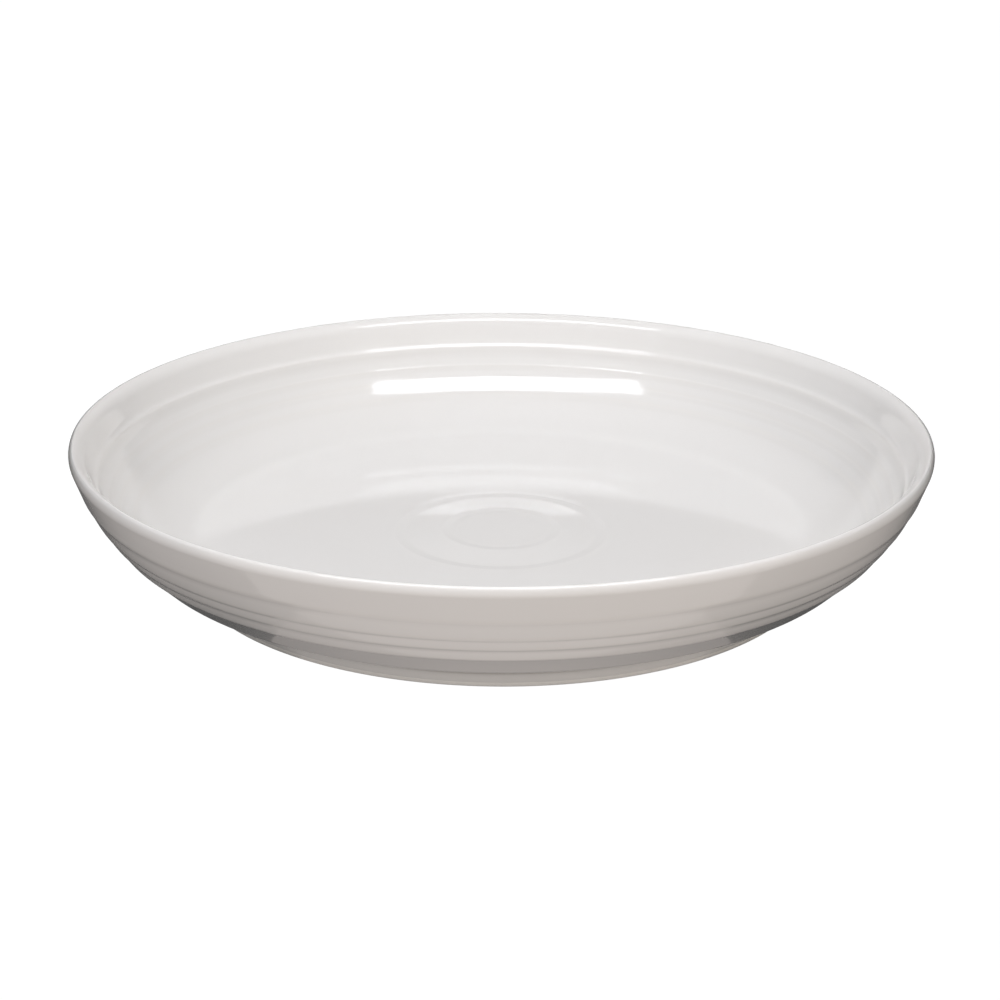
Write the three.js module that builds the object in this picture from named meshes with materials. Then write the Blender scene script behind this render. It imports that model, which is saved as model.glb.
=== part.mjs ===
// A wide, shallow salad bowl of glazed pottery, in three bodies of material:
// the fired clay, the coat of glaze over its inside and outside, and the glaze under its base.
// Millimetres, with Z up. The bowl stands on its foot ring at z = 0, and Z is its axis.

import * as THREE from "three";

// Overall size, over the glaze
const RIM_DIAMETER = 264;
const HEIGHT = 43.6;

// Wall: two arcs on one centre, joined over the top by a half-round lip.
// Leans are degrees from upright, at the rim and where the wall turns under.
const WALL_THICKNESS = 4.3;
const RIM_LEAN = 17;
const TURN_LEAN = 50;
const TURN_HEIGHT = 11.4;
const TURN_RADIUS = 8;

// Rings: soft lapped ridges around the wall, closer together towards the foot
const RING_COUNT = 4;
const RING_SETDOWN = 10.8;
const RING_PITCH = 5.9;
const RING_PITCH_RATIO = 0.82;
const RING_FLARE = 2.6;
const RING_DROP = 0.9;
const OUTSIDE_RING_RELIEF = 0.4;
const INSIDE_RING_RELIEF = 0.3;

// Base: its height over the table, its thickness, and the sweep from the floor up into the wall
const BASE_HEIGHT = 4.3;
const BASE_THICKNESS = 4.8;
const FLOOR_SWEEP_RADIUS = 28;

// Rings around the centre of the well
const WELL_RING_DIAMETERS = [32, 42, 58, 66];
const WELL_RING_RELIEF = 0.35;
const WELL_RING_DROP = 1.2;

// Foot ring, set back under the rim
const FOOT_SETBACK = 34;
const FOOT_WIDTH = 5;
const FOOT_HEIGHT = 6.3;
const FOOT_DRAFT = 7;
const FOOT_EDGE_RADIUS = 1;
const FOOT_FILLET_RADIUS = 1.5;

// Glaze: its thickness, the gap that keeps the two bodies apart, and where it ends above the table
const GLAZE_THICKNESS = 0.4;
const GLAZE_SEAT = 0.02;
const GLAZE_LINE = 1.6;

// Fineness
const SEGMENTS = 48;
const LIP_STEPS = 5;
const SWEEP_STEPS = 5;
const EDGE_STEPS = 2;

const radians = THREE.MathUtils.degToRad;
const point = (radius, height) => new THREE.Vector2(radius, height);

// A point at an angle on a circle in the section plane, where 0 points out and a quarter turn back points down
function onCircle(centre, radius, angle) {
  return point(centre.x + radius * Math.cos(angle), centre.y + radius * Math.sin(angle));
}

function arc(centre, radius, from, to, steps) {
  const points = [];
  for (let i = 0; i <= steps; i++) {
    points.push(onCircle(centre, radius, THREE.MathUtils.lerp(from, to, i / steps)));
  }
  return points;
}

// The round between two straight edges that meet at a corner
function filletCorner(before, corner, after, radius) {
  const back = before.clone().sub(corner).normalize();
  const ahead = after.clone().sub(corner).normalize();
  const half = Math.acos(THREE.MathUtils.clamp(back.dot(ahead), -1, 1)) / 2;
  const centre = back.clone().add(ahead).normalize().multiplyScalar(radius / Math.sin(half)).add(corner);
  const reach = radius / Math.tan(half);
  const start = corner.clone().addScaledVector(back, reach).sub(centre).angle();
  const end = corner.clone().addScaledVector(ahead, reach).sub(centre).angle();
  const turn = THREE.MathUtils.euclideanModulo(end - start + Math.PI, 2 * Math.PI) - Math.PI;
  return arc(centre, radius, start, start + turn, EDGE_STEPS);
}

// An outline moved sideways by a distance, to the left of its direction, with mitred corners.
// A point on the axis stays on it.
function offsetOutline(outline, distance) {
  const lefts = outline.slice(1).map((end, i) => {
    const along = end.clone().sub(outline[i]).normalize();
    return point(-along.y, along.x);
  });
  return outline.map((corner, i) => {
    const before = lefts[Math.max(i - 1, 0)];
    const after = lefts[Math.min(i, lefts.length - 1)];
    if (corner.x === 0) return point(0, corner.y + distance / after.y);
    const mitre = before.clone().add(after).divideScalar(1 + before.dot(after));
    return corner.clone().addScaledVector(mitre, distance);
  });
}

// Wall arc of the finished bowl: it leaves the lip at the rim's lean and reaches the turn at the turn's lean
const lipCentre = point((RIM_DIAMETER - WALL_THICKNESS) / 2, HEIGHT - WALL_THICKNESS / 2);
const rimLean = radians(RIM_LEAN);
const turnLean = radians(TURN_LEAN);
const wallDrop = lipCentre.y - (WALL_THICKNESS / 2) * Math.sin(rimLean) - TURN_HEIGHT;
const wallRadius = wallDrop / (Math.sin(turnLean) - Math.sin(rimLean));
const wallCentre = onCircle(lipCentre, wallRadius - WALL_THICKNESS / 2, Math.PI - rimLean);

// The clay is smaller than the finished bowl by one coat of glaze on every glazed face
const COAT = GLAZE_SEAT + GLAZE_THICKNESS;
const lipRadius = WALL_THICKNESS / 2 - COAT;
const outsideRadius = wallRadius - COAT;
const insideRadius = wallRadius - WALL_THICKNESS + COAT;
const floorHeight = BASE_HEIGHT + BASE_THICKNESS - COAT;
const baseHeight = BASE_HEIGHT + COAT;

// The rings' ridges from the top down, each with the flare that fits under the ring above
const rings = [];
for (let height = HEIGHT - RING_SETDOWN, pitch = RING_PITCH; rings.length < RING_COUNT; pitch *= RING_PITCH_RATIO) {
  rings.push({ height, flare: Math.min(RING_FLARE, pitch - RING_DROP) });
  height -= pitch;
}

// The rings on one face of the wall, from the top down, where they fit between the lip and the face's lowest angle:
// for each, the flare's start, the ridge and the foot of its drop
function wallRings(radius, relief, lowest) {
  return rings
    .map(({ height, flare }) => {
      const ridge = Math.asin((height - wallCentre.y) / radius);
      return { top: ridge + flare / radius, ridge, bottom: ridge - RING_DROP / radius };
    })
    .filter(({ top, bottom }) => top < -rimLean && bottom > lowest)
    .flatMap(({ top, ridge, bottom }) => [
      onCircle(wallCentre, radius, top),
      onCircle(wallCentre, radius + relief, ridge),
      onCircle(wallCentre, radius, bottom),
    ]);
}

// The well, from the axis out: each ring rises slowly to a ridge and drops back to the floor
function wellOutline() {
  const outline = [point(0, floorHeight)];
  for (const diameter of WELL_RING_DIAMETERS) {
    outline.push(point(diameter / 2, floorHeight + WELL_RING_RELIEF));
    outline.push(point(diameter / 2 + WELL_RING_DROP, floorHeight));
  }
  return outline;
}

// The inside wall, from the floor up to the lip: a sweep that runs into the wall arc, then the rings
function insideWallOutline() {
  const sweepRadius = FLOOR_SWEEP_RADIUS + COAT;
  const rise = wallCentre.y - floorHeight - sweepRadius;
  const run = Math.sqrt((insideRadius - sweepRadius) ** 2 - rise ** 2);
  const sweepCentre = point(wallCentre.x + run, floorHeight + sweepRadius);
  const sweepEnd = -Math.atan2(rise, run);
  return [
    ...arc(sweepCentre, sweepRadius, -Math.PI / 2, sweepEnd, SWEEP_STEPS),
    ...wallRings(insideRadius, -INSIDE_RING_RELIEF, sweepEnd).reverse(),
  ];
}

// The half-round lip, from the inside over to the outside
function lipOutline() {
  return arc(lipCentre, lipRadius, Math.PI - rimLean, -rimLean, LIP_STEPS);
}

// The foot's sides in the section plane at a height over the table, leaning apart by their draft
const footRadius = RIM_DIAMETER / 2 - FOOT_SETBACK;
const draft = Math.tan(radians(FOOT_DRAFT));
const footOutside = (height) => point(footRadius + height * draft, height);
const footInside = (height) => point(footRadius - FOOT_WIDTH - height * draft, height);

// The outside wall, from the lip down: the rings, the rounded turn, the underside in to the foot and the foot's side
function outsideWallOutline() {
  const turnRadius = TURN_RADIUS - COAT;
  const turnCentre = onCircle(wallCentre, wallRadius - TURN_RADIUS, -turnLean);
  const footTop = footOutside(FOOT_HEIGHT);
  const toFoot = footTop.clone().sub(turnCentre);
  const turnEnd = Math.atan2(toFoot.y, toFoot.x) + Math.acos(turnRadius / toFoot.length());
  const turn = arc(turnCentre, turnRadius, -turnLean, turnEnd, EDGE_STEPS);
  return [
    ...wallRings(outsideRadius, OUTSIDE_RING_RELIEF, -turnLean),
    ...turn,
    ...filletCorner(turn.at(-1), footTop, footOutside(0), FOOT_FILLET_RADIUS + COAT),
    footOutside(GLAZE_LINE),
  ];
}

// The bare foot, from the outer glaze line round the standing face to the inner glaze line
function bareFootOutline() {
  return [
    ...filletCorner(footOutside(GLAZE_LINE), footOutside(0), footInside(0), FOOT_EDGE_RADIUS),
    ...filletCorner(footOutside(0), footInside(0), footInside(GLAZE_LINE), FOOT_EDGE_RADIUS),
  ];
}

// The underside of the base, from the inner glaze line in to the axis
function baseOutline() {
  const axis = point(0, baseHeight);
  return [
    footInside(GLAZE_LINE),
    ...filletCorner(footInside(0), footInside(baseHeight), axis, FOOT_FILLET_RADIUS + COAT),
    axis,
  ];
}

// The clay faces that each layer of glaze covers
const coatedOutline = [...wellOutline(), ...insideWallOutline(), ...lipOutline(), ...outsideWallOutline()];
const baseCoatedOutline = baseOutline();

// A layer of glaze on an outline: along the glaze's own surface one way and along the clay the other, from the axis
function glazeOutline(outline) {
  const surface = offsetOutline(outline, COAT);
  const seat = offsetOutline(outline, GLAZE_SEAT).reverse();
  return outline[0].x === 0 ? [...surface, ...seat] : [...seat, ...surface];
}

// A section turned round the Z axis as a named piece
function turnedPiece(name, outline, material) {
  const geometry = new THREE.LatheGeometry([...outline].reverse(), SEGMENTS);
  geometry.rotateX(Math.PI / 2);
  const piece = new THREE.Mesh(geometry, new THREE.MeshStandardMaterial(material));
  piece.name = name;
  return piece;
}

const CLAY = { color: 0xe9e4da, roughness: 0.85, metalness: 0 };
const GLAZE = { color: 0xf0edea, roughness: 0.12, metalness: 0 };

const bowl = new THREE.Group();
bowl.name = "salad_bowl";
bowl.add(turnedPiece("clay_body", [...coatedOutline, ...bareFootOutline(), ...baseCoatedOutline], CLAY));
bowl.add(turnedPiece("glaze_coat", glazeOutline(coatedOutline), GLAZE));
bowl.add(turnedPiece("base_glaze", glazeOutline(baseCoatedOutline), GLAZE));

export default bowl;
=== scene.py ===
# %% [markdown]
# # A glazed salad bowl
#
# The bowl is one body of fired clay under a glossy coat of glaze, with a second patch of glaze under its
# base. The packed model is the fixed frame: it says how big each piece is and where it sits. This lesson
# models the same three pieces finely enough for a close view, gives them a glaze and a bare-clay finish,
# and lights them like a studio photograph.

# %% Load the packed frame
import math

import bpy
from mathutils import Matrix, Vector


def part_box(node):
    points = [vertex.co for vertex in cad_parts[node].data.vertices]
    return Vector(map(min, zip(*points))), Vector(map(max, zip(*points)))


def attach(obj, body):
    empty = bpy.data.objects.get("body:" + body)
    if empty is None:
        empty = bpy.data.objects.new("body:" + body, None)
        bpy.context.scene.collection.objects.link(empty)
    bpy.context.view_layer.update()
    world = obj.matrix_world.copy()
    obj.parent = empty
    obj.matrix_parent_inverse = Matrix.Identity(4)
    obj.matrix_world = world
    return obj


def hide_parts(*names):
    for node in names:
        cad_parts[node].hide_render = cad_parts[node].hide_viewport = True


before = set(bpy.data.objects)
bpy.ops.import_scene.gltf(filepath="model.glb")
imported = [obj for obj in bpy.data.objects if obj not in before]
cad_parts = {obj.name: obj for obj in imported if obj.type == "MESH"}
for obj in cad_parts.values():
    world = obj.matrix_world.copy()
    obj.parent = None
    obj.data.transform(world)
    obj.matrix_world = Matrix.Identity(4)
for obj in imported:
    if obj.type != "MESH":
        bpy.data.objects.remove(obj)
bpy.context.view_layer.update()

# %% [markdown]
# ## The section of the bowl
#
# A potter makes a bowl by turning it, so its whole shape is one section, drawn from the axis outwards. It
# could also be pulled out of a sphere or a cylinder, but then the lip, the rings and the foot would have to
# be fitted to each other by eye. A drawn section holds them all at once. The overall size comes from the
# frame, rounded to the size that the facets of its solids stand for, and the rest are the potter's own
# measurements.

# %% Sizes of the section, in millimetres
MM = 0.001
glaze_low, glaze_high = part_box("glaze_coat")
RIM_DIAMETER = round((glaze_high.x - glaze_low.x) / MM)
HEIGHT = round(glaze_high.z / MM, 1)
WALL_THICKNESS = 4.3
RIM_LEAN = math.radians(17)
TURN_LEAN = math.radians(50)
TURN_HEIGHT = 11.4
TURN_RADIUS = 8.0
BASE_HEIGHT = 4.3
BASE_THICKNESS = 4.8
FLOOR_SWEEP_RADIUS = 28.0
print("rim, mm:", RIM_DIAMETER, "height, mm:", HEIGHT)

# %% Sizes of the foot and the glaze, in millimetres
FOOT_SETBACK = 34.0
FOOT_WIDTH = 5.0
FOOT_HEIGHT = 6.3
FOOT_DRAFT = math.radians(7)
FOOT_WAIST = 3.2
FOOT_WAIST_RADIUS = 4.0
FOOT_UNDERCUT = math.radians(22)
FOOT_FLARE = math.radians(10)
FOOT_EDGE_RADIUS = 1.0
FOOT_FILLET_RADIUS = 0.4
GLAZE_THICKNESS = 0.4
GLAZE_SEAT = 0.02
GLAZE_LINE = 1.6
GLAZE_EDGE_DEPTH = 0.3
COAT = GLAZE_THICKNESS + GLAZE_SEAT
print("the clay lies under the glaze's surface by, mm:", COAT)

# %% [markdown]
# ## Arcs that share their centres
#
# Glaze is a mirror, so it shows every kink in a wall as a broken highlight. The wall is therefore one arc
# inside and one outside on the same centre, and the floor sweeps up into the inside arc without a corner. A
# point in the section is a pair: its distance from the axis and its height over the table.

# %% Points on circles, and the centres
def on_circle(centre, radius, angle):
    return (centre[0] + radius * math.cos(angle), centre[1] + radius * math.sin(angle))


def arc(centre, radius, start, end, steps):
    return [on_circle(centre, radius, start + (end - start) * i / steps) for i in range(steps + 1)]


lip_centre = ((RIM_DIAMETER - WALL_THICKNESS) / 2, HEIGHT - WALL_THICKNESS / 2)
wall_drop = lip_centre[1] - WALL_THICKNESS / 2 * math.sin(RIM_LEAN) - TURN_HEIGHT
wall_radius = wall_drop / (math.sin(TURN_LEAN) - math.sin(RIM_LEAN))
wall_centre = on_circle(lip_centre, wall_radius - WALL_THICKNESS / 2, math.pi - RIM_LEAN)
inside_radius = wall_radius - WALL_THICKNESS
floor_height = BASE_HEIGHT + BASE_THICKNESS
foot_radius = RIM_DIAMETER / 2 - FOOT_SETBACK
sweep_rise = wall_centre[1] - floor_height - FLOOR_SWEEP_RADIUS
sweep_run = math.sqrt((inside_radius - FLOOR_SWEEP_RADIUS) ** 2 - sweep_rise**2)
sweep_start = wall_centre[0] + sweep_run
sweep_end = -math.atan2(sweep_rise, sweep_run)
print("floor is flat out to radius, mm:", round(sweep_start, 2))
print("wall arc radius, mm:", round(wall_radius, 2), "centre:", [round(v, 2) for v in wall_centre])

# %% [markdown]
# ## Rings outside
#
# Four soft ridges run round the outside. Each one is lapped like a roof tile: the wall flares out to the
# ridge and rolls under to a crease, so it takes a bright line over a dark one. They could be cut with a
# bump map, but then the bowl's edge would stay smooth, so they are part of the section. Each row is one
# ring, from the top down.

# %% The outside rings
RING_STEPS = 9
SHARES = [i / RING_STEPS for i in range(RING_STEPS + 1)]
FLARE_POWER = 1.2

# The ridge's height, how far it stands out, and the lengths of its flare and its drop, in millimetres
OUTSIDE_RINGS = (
    (32.9, 0.15, 2.0, 1.6),
    (26.7, 0.19, 4.0, 1.4),
    (22.75, 0.17, 2.7, 1.3),
    (18.4, 0.25, 2.9, 1.6),
)


def lapped_ring(radius, height, relief, flare, drop):
    """One outside ring, from the top down: it flares out to its ridge and rolls under to a crease."""
    ridge = math.asin((height - wall_centre[1]) / radius)
    points = []
    for share in SHARES:
        up = 1 - (1 - share) ** FLARE_POWER
        points.append(on_circle(wall_centre, radius + relief * up, ridge + (1 - share) * flare / radius))
    for share in SHARES[1:]:
        points.append(on_circle(wall_centre, radius + relief * (1 - share**2), ridge - share * drop / radius))
    return points


def outside_rings(radius):
    points = []
    for ring in OUTSIDE_RINGS:
        points += lapped_ring(radius, *ring)
    return points


print("points on the outside rings:", len(outside_rings(wall_radius)))

# %% [markdown]
# ## Rings inside
#
# Inside, one ridge below the lip is strong and three more are barely there, because a hand or a tool
# smooths the face that the food touches. Each swells slowly to its ridge and falls back softly. A smooth
# step makes both sides, since it leaves the wall and arrives at the ridge without a corner.

# %% The inside rings
RING_SETDOWN = 10.8
RING_PITCH = 5.9
RING_PITCH_RATIO = 0.82
INSIDE_RING_BIAS = 2.2

# How far each ridge stands out, and the lengths of its swell and its fall, in millimetres, from the top down
INSIDE_RINGS = ((0.42, 3.2, 4.3), (0.05, 1.5, 2.2), (0.025, 1.9, 1.9), (0.02, 1.8, 1.8))

inside_heights = [HEIGHT - RING_SETDOWN]
for gap in range(len(INSIDE_RINGS) - 1):
    inside_heights.append(inside_heights[-1] - RING_PITCH * RING_PITCH_RATIO**gap)


def smooth_step(share):
    return share * share * (3 - 2 * share)


def swelling_ring(radius, height, relief, swell, fall):
    """One inside ring, from the top down. The bias keeps the steep part of the swell near the ridge."""
    ridge = math.asin((height - wall_centre[1]) / radius)
    points = []
    for share in SHARES:
        up = smooth_step(share**INSIDE_RING_BIAS)
        points.append(on_circle(wall_centre, radius - relief * up, ridge + (1 - share) * swell / radius))
    for share in SHARES[-2::-1]:
        up = smooth_step(share)
        points.append(on_circle(wall_centre, radius - relief * up, ridge - (1 - share) * fall / radius))
    return points


def inside_rings(radius):
    points = []
    for height, ring in zip(inside_heights, INSIDE_RINGS):
        points += swelling_ring(radius, height, *ring)
    return points


print("inside ridges at, mm:", [round(height, 2) for height in inside_heights])

# %% [markdown]
# ## The lip
#
# The lip isn't half round. It rolls in slowly from the inside wall, turns over a tight crest and rolls out
# softly, as a thumb leaves it. Three arcs do that, each touching the next. The slow one is found from where
# the crest starts, so that it also touches the inside wall.

# %% The three rolls of the lip
ROLL_OUT_RADIUS = 3.5
CREST_RADIUS = 1.1
CREST_START = math.radians(120)
CREST_END = math.radians(25)

crest_rise = (ROLL_OUT_RADIUS - CREST_RADIUS) * math.sin(CREST_END) + CREST_RADIUS
roll_out_lean = math.asin((wall_centre[1] + crest_rise - HEIGHT) / (wall_radius - ROLL_OUT_RADIUS))
roll_out_centre = on_circle(wall_centre, wall_radius - ROLL_OUT_RADIUS, -roll_out_lean)
crest_centre = on_circle(roll_out_centre, ROLL_OUT_RADIUS - CREST_RADIUS, CREST_END)
crest_edge = on_circle(crest_centre, CREST_RADIUS, CREST_START)
to_edge = (crest_edge[0] - wall_centre[0], crest_edge[1] - wall_centre[1])
leaning = to_edge[0] * math.cos(CREST_START) + to_edge[1] * math.sin(CREST_START)
roll_in_radius = (to_edge[0] ** 2 + to_edge[1] ** 2 - inside_radius**2) / (2 * (inside_radius + leaning))
roll_in_centre = on_circle(crest_edge, -roll_in_radius, CREST_START)
roll_in_start = math.atan2(wall_centre[1] - roll_in_centre[1], wall_centre[0] - roll_in_centre[0])
print("lip rolls, mm: in", round(roll_in_radius, 2), "crest", CREST_RADIUS, "out", ROLL_OUT_RADIUS)

# %% [markdown]
# ## Layers
#
# The glaze's surface, the glaze's seat and the clay under it are the same section at three depths.
# Offsetting a finished mesh would thicken it unevenly at the creases, so each part of the section is a
# function of its depth below the finished surface instead, and each arc just gets a longer or shorter
# radius.

# %% The round between two edges
EDGE_STEPS = 6


def fillet(before, corner, after, radius):
    """The round between two straight edges that meet at a corner."""
    back = math.atan2(before[1] - corner[1], before[0] - corner[0])
    ahead = math.atan2(after[1] - corner[1], after[0] - corner[0])
    half = math.remainder(ahead - back, 2 * math.pi) / 2
    centre = on_circle(corner, radius / math.sin(abs(half)), back + half)
    start = back - math.copysign(math.pi / 2, half)
    return arc(centre, radius, start, start - math.copysign(math.pi - 2 * abs(half), half), EDGE_STEPS)


square_round = fillet((1, 0), (0, 0), (0, 1), FOOT_EDGE_RADIUS)
print("a square corner's round, mm: from", square_round[0], "to", square_round[-1])

# %% The upper side: the well, the floor, the inside wall and the lip
LIP_STEPS = 9
SWEEP_STEPS = 18
FLOOR_STEPS = 12
WELL_TURN_RADIUS = 8.0
WELL_MARGIN = 1.0

# Where the well's rings turn: distance from the axis and height over the floor, in millimetres
WELL_TURNS = ((14.0, 0.5), (16.0, 0.43), (18.6, 0.62), (30.2, -0.2), (33.4, 0.05), (35.6, 0.0))


def well_part(depth):
    """The rings around the centre of the well, from the axis out, rounded where they turn."""
    floor = floor_height - depth
    turns = [(radius, floor + height) for radius, height in WELL_TURNS]
    axis = (0.0, turns[0][1])
    points = [axis]
    for before, turn, after in zip([axis] + turns, turns, turns[1:] + [(sweep_start, floor)]):
        points += fillet(before, turn, after, WELL_TURN_RADIUS)
    return points


def floor_part(depth):
    """The flat floor between the rings of the well and the sweep."""
    start = WELL_TURNS[-1][0] + WELL_MARGIN
    run = sweep_start - start
    return [(start + run * i / FLOOR_STEPS, floor_height - depth) for i in range(1, FLOOR_STEPS)]


def inside_part(depth):
    """The sweep from the floor into the wall, and the inside rings up to the lip."""
    sweep_centre = (sweep_start, floor_height + FLOOR_SWEEP_RADIUS)
    sweep = arc(sweep_centre, FLOOR_SWEEP_RADIUS + depth, -math.pi / 2, sweep_end, SWEEP_STEPS)
    return sweep + inside_rings(inside_radius + depth)[::-1]


def lip_part(depth):
    """The lip from the inside over to the outside."""
    roll_in = arc(roll_in_centre, roll_in_radius - depth, roll_in_start, CREST_START, LIP_STEPS)
    crest = arc(crest_centre, CREST_RADIUS - depth, CREST_START, CREST_END, LIP_STEPS)
    roll_out = arc(roll_out_centre, ROLL_OUT_RADIUS - depth, CREST_END, -roll_out_lean, LIP_STEPS)
    return roll_in + crest[1:] + roll_out[1:]


print("points on the well:", len(well_part(0)), "inside wall:", len(inside_part(0)), "lip:", len(lip_part(0)))

# %% [markdown]
# ## The foot
#
# The bowl stands on a ring that is trimmed from the clay, with a slight waist where the trimming tool
# turned. The glaze is wiped off its standing face before firing, or the bowl would stick to the kiln shelf,
# so the glaze thins out to an edge just above the table on both sides of the ring.

# %% The lower side: the outside rings, the turn under, the foot and the base
def foot_outside(height, depth=COAT):
    """The foot's outer side, which draws in from the table to a waist and out again under the wall."""
    lean = FOOT_FLARE if height < FOOT_WAIST else FOOT_UNDERCUT
    waist_radius = foot_radius - FOOT_WAIST * math.tan(FOOT_FLARE)
    return (waist_radius + abs(height - FOOT_WAIST) * math.tan(lean) + COAT - depth, height)


def foot_inside(height, depth=COAT):
    """The foot's inner side, which leans in towards the base by its draft."""
    return (foot_radius - FOOT_WIDTH - height * math.tan(FOOT_DRAFT) - COAT + depth, height)


def outside_part(depth):
    """The outside rings down from the lip, the rounded turn, the underside and the foot's side."""
    turn_radius = TURN_RADIUS - depth
    turn_centre = on_circle(wall_centre, wall_radius - TURN_RADIUS, -TURN_LEAN)
    foot_top = foot_outside(FOOT_HEIGHT + depth, depth)
    to_foot = (foot_top[0] - turn_centre[0], foot_top[1] - turn_centre[1])
    turn_end = math.atan2(to_foot[1], to_foot[0]) + math.acos(turn_radius / math.hypot(*to_foot))
    turn = arc(turn_centre, turn_radius, -TURN_LEAN, turn_end, EDGE_STEPS)
    side_end = foot_outside(GLAZE_LINE, max(depth, GLAZE_EDGE_DEPTH))
    waist = foot_outside(FOOT_WAIST, depth)
    foot_round = fillet(turn[-1], foot_top, waist, FOOT_FILLET_RADIUS + depth)
    waist_round = fillet(foot_top, waist, side_end, FOOT_WAIST_RADIUS + depth)
    return outside_rings(wall_radius - depth) + turn + foot_round + waist_round + [side_end]


def bare_foot_part():
    """The unglazed foot, from the outer glaze line round the standing face to the inner one."""
    outer = fillet(foot_outside(GLAZE_LINE), foot_outside(0), foot_inside(0), FOOT_EDGE_RADIUS)
    inner = fillet(foot_outside(0), foot_inside(0), foot_inside(GLAZE_LINE), FOOT_EDGE_RADIUS)
    return outer + inner


def base_part(depth):
    """The underside of the base, from the inner glaze line in to the axis."""
    axis = (0.0, BASE_HEIGHT + depth)
    corner = foot_inside(BASE_HEIGHT + depth, depth)
    side_end = foot_inside(GLAZE_LINE, max(depth, GLAZE_EDGE_DEPTH))
    return [side_end] + fillet(side_end, corner, axis, FOOT_FILLET_RADIUS + depth) + [axis]


def coated_part(depth):
    """Everything that the coat covers, from the well's centre over the lip to the outer glaze line."""
    return well_part(depth) + floor_part(depth) + inside_part(depth) + lip_part(depth) + outside_part(depth)


print("points from the well's centre to the glaze line:", len(coated_part(0)))

# %% [markdown]
# ## Turning a section into a piece
#
# On a wheel, the tool holds still and the clay turns. Here one point is extruded along the section, as the
# tool's tip would go, and the finished line is spun once round the axis. A Screw modifier could do the
# same, but the spin operator leaves a plain mesh at once. It leaves double points on the axis and at the
# seam, which are merged, and it can turn a shape inside out, so the normals are recalculated after that.

# %% The turning helper
TURN_STEPS = 192
MERGE_DISTANCE = 0.001 * MM


def single_point(name):
    """A new mesh of one point at the origin, left in edit mode and ready to be extruded."""
    bpy.ops.object.select_all(action="DESELECT")
    bpy.ops.mesh.primitive_plane_add(size=MM)
    piece = bpy.context.object
    piece.name = name
    piece.data.name = name
    bpy.ops.object.mode_set(mode="EDIT")
    bpy.ops.mesh.merge(type="CENTER")
    return piece


def turned_piece(name, section):
    """A closed piece made by spinning a section, in millimetres, round the bowl's axis."""
    piece = single_point(name)
    radius, height = section[0]
    bpy.ops.transform.translate(value=(radius * MM, 0, height * MM))
    for (radius, height), (next_radius, next_height) in zip(section, section[1:]):
        step = ((next_radius - radius) * MM, 0, (next_height - height) * MM)
        bpy.ops.mesh.extrude_region_move(TRANSFORM_OT_translate={"value": step})
    bpy.ops.mesh.select_all(action="SELECT")
    bpy.ops.mesh.spin(steps=TURN_STEPS, angle=2 * math.pi, center=(0, 0, 0), axis=(0, 0, 1))
    bpy.ops.mesh.select_all(action="SELECT")
    bpy.ops.mesh.remove_doubles(threshold=MERGE_DISTANCE)
    bpy.ops.mesh.normals_make_consistent(inside=False)
    bpy.ops.object.mode_set(mode="OBJECT")
    bpy.ops.object.shade_smooth()
    print(name, "faces:", len(piece.data.polygons), "size, mm:", [round(v / MM, 2) for v in piece.dimensions])
    return piece


def stand_in(piece, node):
    """Hands a modelled piece over to the frame in place of its CAD node."""
    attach(piece, "root")
    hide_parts(node)


print("steps round a turned piece:", TURN_STEPS)

# %% [markdown]
# ## The clay body
#
# The clay is the bowl itself: lip, wall, floor and foot ring. Its section goes all the way round, over the
# faces that the glaze will cover, the bare foot and the underside, so the piece is closed where nothing
# shows, too.

# %% Turn the clay body
clay_section = coated_part(COAT) + bare_foot_part() + base_part(COAT)
clay_body = turned_piece("fired_clay_body", clay_section)
stand_in(clay_body, "clay_body")

# %% [markdown]
# ## The two layers of glaze
#
# Glaze is a layer of glass with a thickness of its own, so it is modelled as one and not painted on. Each
# layer goes out along its surface and back along its seat on the clay, and ends in a thin rounded edge
# where the potter wiped the foot clean. The standing face parts the coat from the layer under the base.

# %% Turn the coat
def wiped_edge(outer, inner):
    """The rounded end of a layer of glaze, from one of its sides to the other."""
    centre = ((outer[0] + inner[0]) / 2, (outer[1] + inner[1]) / 2)
    radius = math.dist(outer, inner) / 2
    start = math.atan2(outer[1] - centre[1], outer[0] - centre[0])
    return arc(centre, radius, start, start - math.pi, EDGE_STEPS)[1:-1]


coat_surface = coated_part(0)
coat_seat = coated_part(GLAZE_THICKNESS)[::-1]
coat_section = coat_surface + wiped_edge(coat_surface[-1], coat_seat[0]) + coat_seat
glaze_coat = turned_piece("glaze_coat_surface", coat_section)
stand_in(glaze_coat, "glaze_coat")

# %% Turn the layer under the base
base_surface = base_part(0)
base_seat = base_part(GLAZE_THICKNESS)[::-1]
base_section = base_seat + wiped_edge(base_seat[-1], base_surface[0]) + base_surface
base_glaze = turned_piece("base_glaze_surface", base_section)
stand_in(base_glaze, "base_glaze")

# %% [markdown]
# ## Writing finishes as arithmetic
#
# A procedural finish is a set of formulas over the surface: how high, how far from the axis, how rough.
# Nodes placed one by one are hard to read back, so a small wrapper lets a node's output be added and
# multiplied in Python, and a formula reads as one. Every node comes from one method, which finds sockets by
# identifier, because some nodes have several sockets of the same name.

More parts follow.
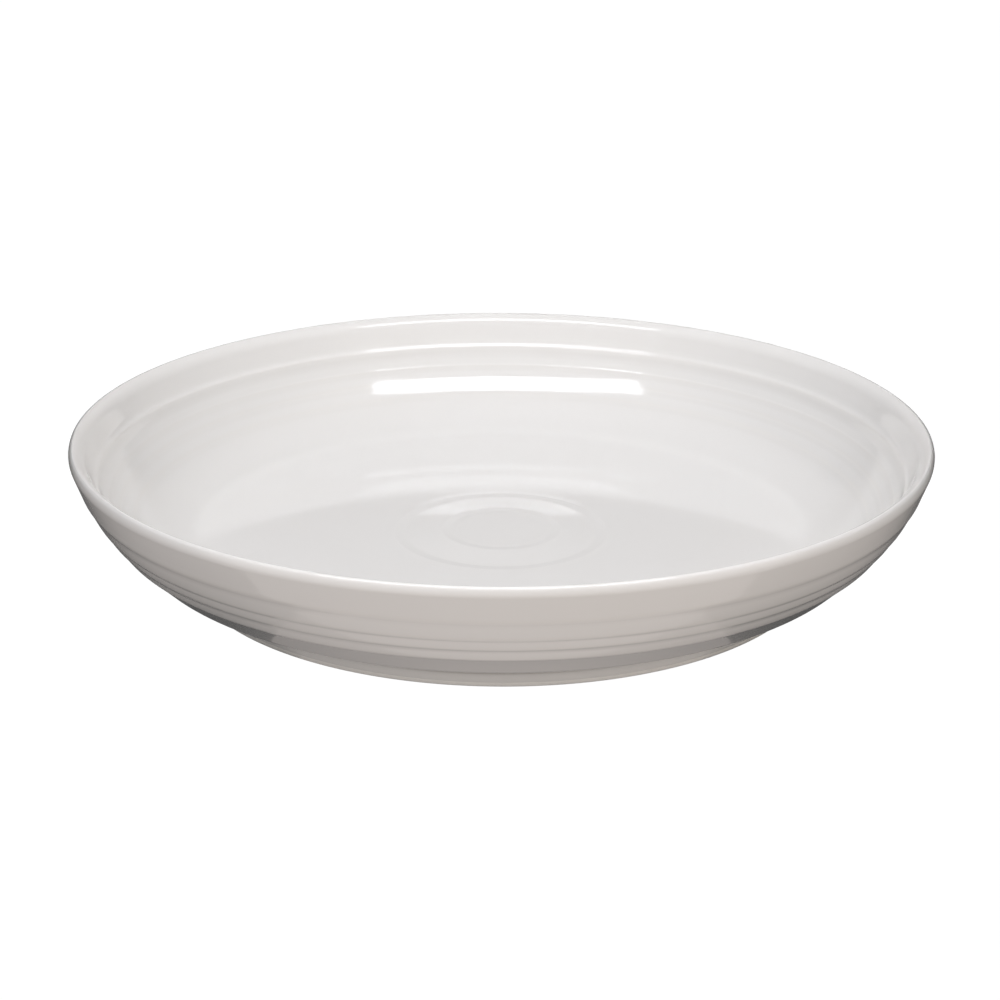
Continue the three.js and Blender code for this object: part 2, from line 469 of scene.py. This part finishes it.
# %% The wrapper for a node's output
class Wire:
    """An output of a node tree that takes part in Python arithmetic."""

    def __init__(self, recipe, socket):
        self.recipe = recipe
        self.socket = socket

    def __add__(self, other):
        return self.recipe.maths("ADD", self, other)

    def __radd__(self, other):
        return self.recipe.maths("ADD", other, self)

    def __sub__(self, other):
        return self.recipe.maths("SUBTRACT", self, other)

    def __rsub__(self, other):
        return self.recipe.maths("SUBTRACT", other, self)

    def __mul__(self, other):
        return self.recipe.maths("MULTIPLY", self, other)

    def __rmul__(self, other):
        return self.recipe.maths("MULTIPLY", other, self)

    def __truediv__(self, other):
        return self.recipe.maths("DIVIDE", self, other)

    def __rtruediv__(self, other):
        return self.recipe.maths("DIVIDE", other, self)

    def __gt__(self, other):
        return self.recipe.maths("GREATER_THAN", self, other)


print("reflected forms on a wire:", [name for name in vars(Wire) if name.startswith("__r")])

# %% The node tree and the one way to add to it
def socket_named(sockets, identifier):
    return next(socket for socket in sockets if socket.identifier == identifier)


class Recipe:
    """A node tree and the one way to add nodes to it."""

    def __init__(self, tree):
        self.tree = tree

    def feed(self, source, socket):
        """Links a wire to a socket, or sets a plain value on it."""
        if isinstance(source, Wire):
            self.tree.links.new(source.socket, socket)
        else:
            socket.default_value = source

    def node(self, kind, settings, sockets, output):
        """A new node with its settings, then its sockets, as a wire from one of its outputs."""
        made = self.tree.nodes.new(kind)
        for name, value in settings.items():
            setattr(made, name, value)
        for identifier, source in sockets.items():
            self.feed(source, socket_named(made.inputs, identifier))
        return Wire(self, socket_named(made.outputs, output))

    def maths(self, operation, first, second=0.0):
        sockets = {"Value": first, "Value_001": second}
        return self.node("ShaderNodeMath", {"operation": operation}, sockets, "Value")

    def vector_maths(self, operation, first, second, output):
        sockets = {"Vector": first, "Vector_001": second}
        return self.node("ShaderNodeVectorMath", {"operation": operation}, sockets, output)

    def object_place(self):
        return self.node("ShaderNodeTexCoord", {}, {}, "Object")

    def noise(self, place, scale, detail):
        return self.node("ShaderNodeTexNoise", {}, {"Vector": place, "Scale": scale, "Detail": detail}, "Fac")

    def blend(self, share, first, second):
        sockets = {"Factor_Float": share, "A_Color": first, "B_Color": second}
        return self.node("ShaderNodeMix", {"data_type": "RGBA"}, sockets, "Result_Color")

    def bumps(self, strength, distance, height):
        sockets = {"Strength": strength, "Distance": distance, "Height": height}
        return self.node("ShaderNodeBump", {}, sockets, "Normal")

    def swap_shader(self, share, first, second):
        sockets = {"Fac": share, "Shader": first, "Shader_001": second}
        return self.node("ShaderNodeMixShader", {}, sockets, "Shader")

    def end_at(self, output_name, shader):
        self.feed(shader, socket_named(self.tree.nodes[output_name].inputs, "Surface"))


class Finish(Recipe):
    """The node tree of a new material."""

    def __init__(self, name):
        self.material = bpy.data.materials.new(name)
        self.material.use_nodes = True
        super().__init__(self.material.node_tree)
        self.shader = self.tree.nodes["Principled BSDF"]

    def set(self, sockets):
        for name, source in sockets.items():
            self.feed(source, self.shader.inputs[name])


print("nodes in a new finish come from:", Finish.node.__qualname__)

# %% [markdown]
# ## The glaze
#
# The glaze is a warm off-white glass. While it melts it runs thin over the ridges, where the clay shows
# through a little, and gathers in the creases below them. A dark band in the corner over the foot is painted
# shade: the contact shadow under the overhanging wall. These are bands of height, so each is a bell curve of
# the height over the table. One slow noise keeps the colour from being flat.

# %% Start the glaze: where a point is
glaze = Finish("off_white_glaze")
place = glaze.object_place()
height = glaze.node("ShaderNodeSeparateXYZ", {}, {"Vector": place}, "Z")
place_across = glaze.vector_maths("MULTIPLY", place, (1, 1, 0), "Vector")
from_axis = glaze.vector_maths("LENGTH", place_across, (0, 0, 0), "Value")


def bands(wire, middles, width):
    """Soft bands on a wire, each 1 at its middle."""
    total = 0
    for middle in middles:
        away = (wire - middle) / width
        total = wire.recipe.maths("EXPONENT", away * away * -1) + total
    return total


print("glaze nodes that say where a point is:", len(glaze.tree.nodes))

# %% The glaze's colour
GLAZE_COLOUR = (0.84, 0.83, 0.82, 1)
THIN_GLAZE_COLOUR = (0.76, 0.72, 0.66, 1)
POOLED_GLAZE_COLOUR = (0.80, 0.785, 0.765, 1)
# The next colour is painted shade: the dark contact shadow on the foot just under the overhanging wall.
PAINTED_FOOT_SHADOW_COLOUR = (0.36, 0.33, 0.30, 1)
THIN_RIDGE_WIDTH = 0.6 * MM
THIN_RIDGE_SHARE = 0.12
POOL_WIDTH = 0.7 * MM
POOL_BELOW_RIDGE = 1.2 * MM
POOL_SHARE = 0.25
TONE_SCALE = 22.0
TONE_DETAIL = 3.0
TONE_SHARE = 0.12
PAINTED_FOOT_SHADOW_HEIGHT = 5.0 * MM
PAINTED_FOOT_SHADOW_WIDTH = 0.7 * MM
PAINTED_FOOT_SHADOW_SHARE = 0.95

ridge_heights = [ring[0] * MM for ring in OUTSIDE_RINGS]
ridges = bands(height, ridge_heights, THIN_RIDGE_WIDTH)
pools = bands(height, [ridge - POOL_BELOW_RIDGE for ridge in ridge_heights], POOL_WIDTH)
tone = glaze.noise(place, TONE_SCALE, TONE_DETAIL)
outside_foot = from_axis > (foot_radius - FOOT_WIDTH / 2) * MM
# Painted shade: a dark band on the outside of the foot at the given height, standing in for the shadow under
# the wall.
painted_foot_shadow = bands(height, [PAINTED_FOOT_SHADOW_HEIGHT], PAINTED_FOOT_SHADOW_WIDTH) * outside_foot

colour = glaze.blend(ridges * THIN_RIDGE_SHARE, GLAZE_COLOUR, THIN_GLAZE_COLOUR)
colour = glaze.blend(pools * POOL_SHARE, colour, POOLED_GLAZE_COLOUR)
colour = glaze.blend(tone * TONE_SHARE, colour, THIN_GLAZE_COLOUR)
colour = glaze.blend(painted_foot_shadow * PAINTED_FOOT_SHADOW_SHARE, colour, PAINTED_FOOT_SHADOW_COLOUR)
glaze.set({"Base Color": colour})
print("the glaze runs thin on", len(ridge_heights), "ridges")

# %% [markdown]
# ## The gloss
#
# Fired glaze is almost a mirror, with a faint orange-peel and slow waves, which is why long highlights have
# slightly uneven ends. Outside it has a second clear layer, which reflects more at a glancing angle and so
# draws the bowl's dark edge. The faces that look away from the axis are the outside ones, and that tells
# where it goes.

# %% The glaze's gloss
PEEL_SCALE = 700.0
PEEL_DETAIL = 2.0
PEEL_SHARE = 0.06
WAVE_SCALE = 38.0
WAVE_DETAIL = 1.0
GLAZE_BUMP_STRENGTH = 0.35
GLAZE_BUMP_DISTANCE = 0.02 * MM
GLAZE_ROUGHNESS = 0.045
GLAZE_ROUGHNESS_SPREAD = 0.04
GLAZE_IOR = 1.52
OUTER_COAT_FROM = 30 * MM
OUTER_COAT_IOR = 1.4
OUTER_COAT_ROUGHNESS = 0.05

waves = glaze.noise(place, WAVE_SCALE, WAVE_DETAIL)
peel = glaze.noise(place, PEEL_SCALE, PEEL_DETAIL)
facing = glaze.node("ShaderNodeNewGeometry", {}, {}, "Normal")
outwards = glaze.vector_maths("DOT_PRODUCT", place_across, facing, "Value")
glaze.set(
    {
        "Normal": glaze.bumps(GLAZE_BUMP_STRENGTH, GLAZE_BUMP_DISTANCE, waves + peel * PEEL_SHARE),
        "Roughness": GLAZE_ROUGHNESS + tone * GLAZE_ROUGHNESS_SPREAD,
        "IOR": GLAZE_IOR,
        "Coat Weight": outwards > OUTER_COAT_FROM,
        "Coat IOR": OUTER_COAT_IOR,
        "Coat Roughness": OUTER_COAT_ROUGHNESS,
    }
)
for piece in (glaze_coat, base_glaze):
    piece.data.materials.append(glaze.material)
print("glaze nodes:", len(glaze.tree.nodes))

# %% [markdown]
# ## The bare clay
#
# Only the foot's standing face shows the clay. It is fine and matte, and a little lighter than the glaze
# over it, with a grain that the wiping sponge drew out and faint stains. Two noises make those, one fine
# and one coarse.

# %% Make the bare clay
CLAY_COLOUR = (0.93, 0.92, 0.90, 1)
CLAY_GRAIN_COLOUR = (0.86, 0.84, 0.81, 1)
GRAIN_SCALE = 900.0
GRAIN_DETAIL = 4.0
GRAIN_SHARE = 0.5
STAIN_SCALE = 60.0
STAIN_DETAIL = 2.0
STAIN_SHARE = 0.3
CLAY_BUMP_STRENGTH = 0.5
CLAY_BUMP_DISTANCE = 0.05 * MM
CLAY_ROUGHNESS = 0.75
CLAY_ROUGHNESS_SPREAD = 0.2

clay = Finish("bare_fired_clay")
place = clay.object_place()
grain = clay.noise(place, GRAIN_SCALE, GRAIN_DETAIL)
stain = clay.noise(place, STAIN_SCALE, STAIN_DETAIL)
clay.set(
    {
        "Base Color": clay.blend(grain * GRAIN_SHARE + stain * STAIN_SHARE, CLAY_COLOUR, CLAY_GRAIN_COLOUR),
        "Roughness": CLAY_ROUGHNESS + grain * CLAY_ROUGHNESS_SPREAD,
        "Normal": clay.bumps(CLAY_BUMP_STRENGTH, CLAY_BUMP_DISTANCE, grain),
    }
)
clay_body.data.materials.append(clay.material)
print("clay nodes:", len(clay.tree.nodes))

# %% [markdown]
# ## The room
#
# A glossy bowl shows its room, so the room is part of the finish. It is evenly dim and a little warm, which
# keeps the flat floor of the well, a mirror of what is behind it, a little grey. The camera alone sees it
# as white.

# %% Light the room
WHITE = (1, 1, 1, 1)
BLACK = (0, 0, 0, 1)
ROOM_COLOUR = (1.0, 0.92, 0.86, 1)
ROOM_STRENGTH = 0.355
BACKDROP_STRENGTH = 1.0

scene = bpy.context.scene
scene.view_settings.view_transform = "Standard"
scene.world = bpy.data.worlds.new("studio_room")
scene.world.use_nodes = True
room = Recipe(scene.world.node_tree)
room.tree.nodes.remove(room.tree.nodes["Background"])
dim = room.node("ShaderNodeBackground", {}, {"Color": ROOM_COLOUR, "Strength": ROOM_STRENGTH}, "Background")
white = room.node("ShaderNodeBackground", {}, {"Color": WHITE, "Strength": BACKDROP_STRENGTH}, "Background")
to_camera = room.node("ShaderNodeLightPath", {}, {}, "Is Camera Ray")
room.end_at("World Output", room.swap_shader(to_camera, dim, white))
print("room strength:", ROOM_STRENGTH)

# %% [markdown]
# ## The table
#
# In a studio the bowl would stand on a pale sheet, with dark and bright cards around it. The sheet that the
# camera sees glows just enough to be pale all over and takes no part in the light. It is clear from below,
# so that the base can be looked at. A dark table that the camera doesn't see does the sheet's work for the
# light.

# %% Lay the two tables
TABLE_SIZE = 6.0
MATTE = 0.9
PALE_GLOW = 1.02
DARK_GLOW = 0.08


def flat_card(name, width, length, place):
    """A flat card in the studio, with its size and place in its mesh."""
    bpy.ops.object.select_all(action="DESELECT")
    bpy.ops.mesh.primitive_plane_add(size=1)
    card = bpy.context.object
    card.name = name
    bpy.ops.object.mode_set(mode="EDIT")
    bpy.ops.transform.resize(value=(width, length, 1))
    bpy.ops.transform.translate(value=place)
    bpy.ops.object.mode_set(mode="OBJECT")
    return card


def glowing(name, colour, glow):
    """A black finish that gives off light."""
    finish = Finish(name)
    finish.set({"Base Color": BLACK, "Emission Color": colour, "Emission Strength": glow})
    return finish


def table_top(name, glow):
    """A big matte table at the bowl's foot."""
    top = flat_card(name, TABLE_SIZE, TABLE_SIZE, (0, 0, 0))
    finish = glowing(name, WHITE, glow)
    finish.set({"Roughness": MATTE})
    top.data.materials.append(finish.material)
    return top, finish


pale_table, pale = table_top("pale_table", PALE_GLOW)
pale_table.visible_diffuse = False
pale_table.visible_glossy = False
pale_table.visible_shadow = False
from_below = pale.node("ShaderNodeNewGeometry", {}, {}, "Backfacing")
clear = pale.node("ShaderNodeBsdfTransparent", {}, {}, "BSDF")
pale_top = Wire(pale, socket_named(pale.shader.outputs, "BSDF"))
pale.end_at("Material Output", pale.swap_shader(from_below, pale_top, clear))

dark_table, _ = table_top("dark_table", DARK_GLOW)
dark_table.visible_camera = False
print("tables, m:", [round(v, 2) for v in pale_table.dimensions])

# %% [markdown]
# ## Cards on the table
#
# The outside of the bowl looks down, so it is lit from below: by the bright table in front of it, less by
# the part in its own shadow near the foot. Real light would bounce there from the sheet. Glowing cards just
# over the table give the same gradient with less noise. The ones at the sides and behind are kept out of
# reflections.

# %% Lay the cards
CARD_COLOUR = (1.0, 0.93, 0.90, 1)
CARD_HEIGHT = 0.3 * MM
FRONT_EDGE = -0.50
MIDDLE_EDGE = -0.17
NEAR_EDGE = -0.115
FOOT_EDGE = -0.08
BACK_EDGE = 0.80
NEAR_HALF_WIDTH = 0.07
MIDDLE_HALF_WIDTH = 0.15
WIDE_HALF_WIDTH = 0.80
SIDE_START = 0.10
SIDE_END = 0.30
NEAR_GLOW = 0.23
MIDDLE_GLOW = 0.44
FRONT_GLOW = 0.62
LEFT_GLOW = 0.66
RIGHT_GLOW = 0.68
BACK_GLOW = 0.5


def keep_unseen(card, finish):
    """Dresses a card and hides it from the camera."""
    card.data.materials.append(finish.material)
    card.visible_camera = False


def glow_card(name, low, high, glow):
    """A card that glows softly just over the table, between two corners, and casts no shadow."""
    middle = ((low[0] + high[0]) / 2, (low[1] + high[1]) / 2, CARD_HEIGHT)
    card = flat_card(name, high[0] - low[0], high[1] - low[1], middle)
    card.visible_shadow = False
    keep_unseen(card, glowing(name, CARD_COLOUR, glow))
    return card


glow_card("near_card", (-NEAR_HALF_WIDTH, NEAR_EDGE), (NEAR_HALF_WIDTH, FOOT_EDGE), NEAR_GLOW)
glow_card("middle_card", (-MIDDLE_HALF_WIDTH, MIDDLE_EDGE), (MIDDLE_HALF_WIDTH, NEAR_EDGE), MIDDLE_GLOW)
front_card = glow_card("far_card", (-WIDE_HALF_WIDTH, FRONT_EDGE), (WIDE_HALF_WIDTH, MIDDLE_EDGE), FRONT_GLOW)
left_card = glow_card("left_card", (-SIDE_END, MIDDLE_EDGE), (-SIDE_START, 0), LEFT_GLOW)
right_card = glow_card("right_card", (SIDE_START, MIDDLE_EDGE), (SIDE_END, 0), RIGHT_GLOW)
back_card = glow_card("back_card", (-WIDE_HALF_WIDTH, 0), (WIDE_HALF_WIDTH, BACK_EDGE), BACK_GLOW)
for card in (left_card, right_card, back_card):
    card.visible_glossy = False
print("front card, m:", [round(v, 3) for v in front_card.dimensions])

# %% [markdown]
# ## A card under the base
#
# The hollow under the base is closed off by the table, so from below it would be black. A round card inside
# the foot ring lights it. It can't be seen from above, because the foot ring goes all the way round it.

# %% Lay the round card
BASE_CARD_SIDES = 64
BASE_CARD_RADIUS = 90 * MM
BASE_CARD_HEIGHT = 2 * CARD_HEIGHT
BASE_CARD_GLOW = 0.5

bpy.ops.object.select_all(action="DESELECT")
bpy.ops.mesh.primitive_circle_add(vertices=BASE_CARD_SIDES, radius=BASE_CARD_RADIUS, fill_type="NGON")
base_card = bpy.context.object
base_card.name = "base_card"
bpy.ops.object.mode_set(mode="EDIT")
bpy.ops.transform.translate(value=(0, 0, BASE_CARD_HEIGHT))
bpy.ops.object.mode_set(mode="OBJECT")
keep_unseen(base_card, glowing("base_card", CARD_COLOUR, BASE_CARD_GLOW))
print("base card, mm:", [round(v / MM, 1) for v in base_card.dimensions])

# %% [markdown]
# ## Flags
#
# A white bowl on white has no edge. Photographers stand black flags at both sides, out of the picture, and
# the glaze mirrors them along the edge. Both flags are one card, stood up on its side.

# %% Stand up the flags
FLAG_SIDE = 0.34
FLAG_HEIGHT = 0.45
FLAG_LENGTH = 0.95
FLAG_MIDDLE = 0.32


def black_flag(name, side):
    """An upright black card beside the bowl, which reaches down to the table."""
    flag = flat_card(name, FLAG_HEIGHT, FLAG_LENGTH, (0, 0, 0))
    bpy.ops.object.mode_set(mode="EDIT")
    bpy.ops.transform.rotate(value=math.pi / 2, orient_axis="Y", center_override=(0, 0, 0))
    bpy.ops.transform.translate(value=(side, FLAG_MIDDLE, FLAG_HEIGHT / 2))
    bpy.ops.object.mode_set(mode="OBJECT")
    finish = Finish(name)
    finish.set({"Base Color": BLACK, "Roughness": MATTE})
    keep_unseen(flag, finish)
    return flag


flags = [black_flag("left_flag", -FLAG_SIDE), black_flag("right_flag", FLAG_SIDE)]
print("flags, m:", [[round(v, 3) for v in flag.dimensions] for flag in flags])

# %% [markdown]
# ## The strip
#
# A long curved strip light hangs over the front of the table. Its reflections are the bright bars on the
# back wall, the line along the lip and the arc on the ring of the well. A square softbox would give blunt
# patches instead of bars with straight ends. It is one edge, spun through the strip's angle.

# %% Hang the strip
STRIP_HEIGHT = 1.107
STRIP_CENTRE = (-0.036, 1.2)
STRIP_NEAR = 1.49
STRIP_FAR = 1.74
STRIP_HALF_ANGLE = math.radians(22.5)
STRIP_STEPS = 32
STRIP_COLOUR = (0.94, 0.965, 1.0, 1)
STRIP_GLOW = 7.8

strip = single_point("overhead_strip")
along = Vector((math.sin(STRIP_HALF_ANGLE), -math.cos(STRIP_HALF_ANGLE), 0))
strip_start = Vector((*STRIP_CENTRE, STRIP_HEIGHT)) + STRIP_NEAR * along
bpy.ops.transform.translate(value=strip_start)
bpy.ops.mesh.extrude_region_move(TRANSFORM_OT_translate={"value": (STRIP_FAR - STRIP_NEAR) * along})
bpy.ops.mesh.select_all(action="SELECT")
bpy.ops.mesh.spin(steps=STRIP_STEPS, angle=2 * STRIP_HALF_ANGLE, center=(*STRIP_CENTRE, 0), axis=(0, 0, 1))
bpy.ops.object.mode_set(mode="OBJECT")
keep_unseen(strip, glowing("strip_diffuser", STRIP_COLOUR, STRIP_GLOW))
print("strip size, m:", [round(v, 3) for v in strip.dimensions])

# %% [markdown]
# ## The fills
#
# Five softboxes even out the light: three low ones in front, and two high ones at the sides for the inside
# walls. The right one is warmer and brighter than the left, which models the round of the wall. All stay
# out of the reflections, where they would show as extra patches on the glaze.

# %% Set the fills
FILL_AIM = Vector((0, 0, 0.02))
FILL_DISTANCE = 1.2
FILL_SIZE = (0.5, 0.3)
LOW = math.radians(11)
HIGH = math.radians(58)
AHEAD = math.radians(0)
FRONT_QUARTER = math.radians(35)
BESIDE = math.radians(80)

# Name, angle round from the front to the right, angle above the table, watts and colour
FILLS = (
    ("front_fill", AHEAD, LOW, 0.9, (0.92, 0.96, 1.0)),
    ("left_fill", -FRONT_QUARTER, LOW, 0.75, (1.0, 0.97, 0.95)),
    ("right_fill", FRONT_QUARTER, LOW, 1.75, (1.0, 0.90, 0.78)),
    ("upper_left_fill", -BESIDE, HIGH, 3.1, (0.94, 0.96, 1.0)),
    ("upper_right_fill", BESIDE, HIGH, 2.2, (0.93, 0.96, 1.0)),
)


def softbox(name, around, above, watts, colour):
    """A rectangular softbox that faces the bowl and stays out of its reflections."""
    ground = math.cos(above)
    place = Vector((math.sin(around) * ground, -math.cos(around) * ground, math.sin(above))) * FILL_DISTANCE
    bpy.ops.object.light_add(type="AREA", location=place)
    box = bpy.context.object
    box.name = name
    box.data.shape = "RECTANGLE"
    box.data.size, box.data.size_y = FILL_SIZE
    box.data.energy = watts
    box.data.color = colour
    box.rotation_euler = (place - FILL_AIM).to_track_quat("Z", "Y").to_euler()
    box.visible_glossy = False
    return box


fills = [softbox(*fill) for fill in FILLS]
print("fills:", [(box.name, round(box.data.energy, 2)) for box in fills])

# %% [markdown]
# ## The camera
#
# The camera looks down at the bowl from in front. Its angle, distance and lens are the ones at which the
# bowl's rim and foot outlines, at their own sizes, agree with the photograph's. The slight roll is the
# photograph's own.

# %% Set the camera
CAMERA_ELEVATION = math.radians(20.156)
CAMERA_DISTANCE = 0.700
CAMERA_TARGET_HEIGHT = 0.01909
CAMERA_SIDE = -0.0004
CAMERA_ROLL = math.radians(0.2)
LENS = 80.54
SENSOR = 36.0

camera_back = CAMERA_DISTANCE * math.cos(CAMERA_ELEVATION)
camera_height = CAMERA_TARGET_HEIGHT + CAMERA_DISTANCE * math.sin(CAMERA_ELEVATION)
bpy.ops.object.camera_add(location=(CAMERA_SIDE, -camera_back, camera_height))
camera = bpy.context.object
camera.data.lens = LENS
camera.data.sensor_width = SENSOR
tilt = Matrix.Rotation(math.pi / 2 - CAMERA_ELEVATION, 3, "X")
camera.rotation_euler = (tilt @ Matrix.Rotation(CAMERA_ROLL, 3, "Z")).to_euler()
scene.camera = camera
print("camera at, m:", [round(v, 3) for v in camera.location])

# %% [markdown] The finished pieces have to fill the same box as the frame.
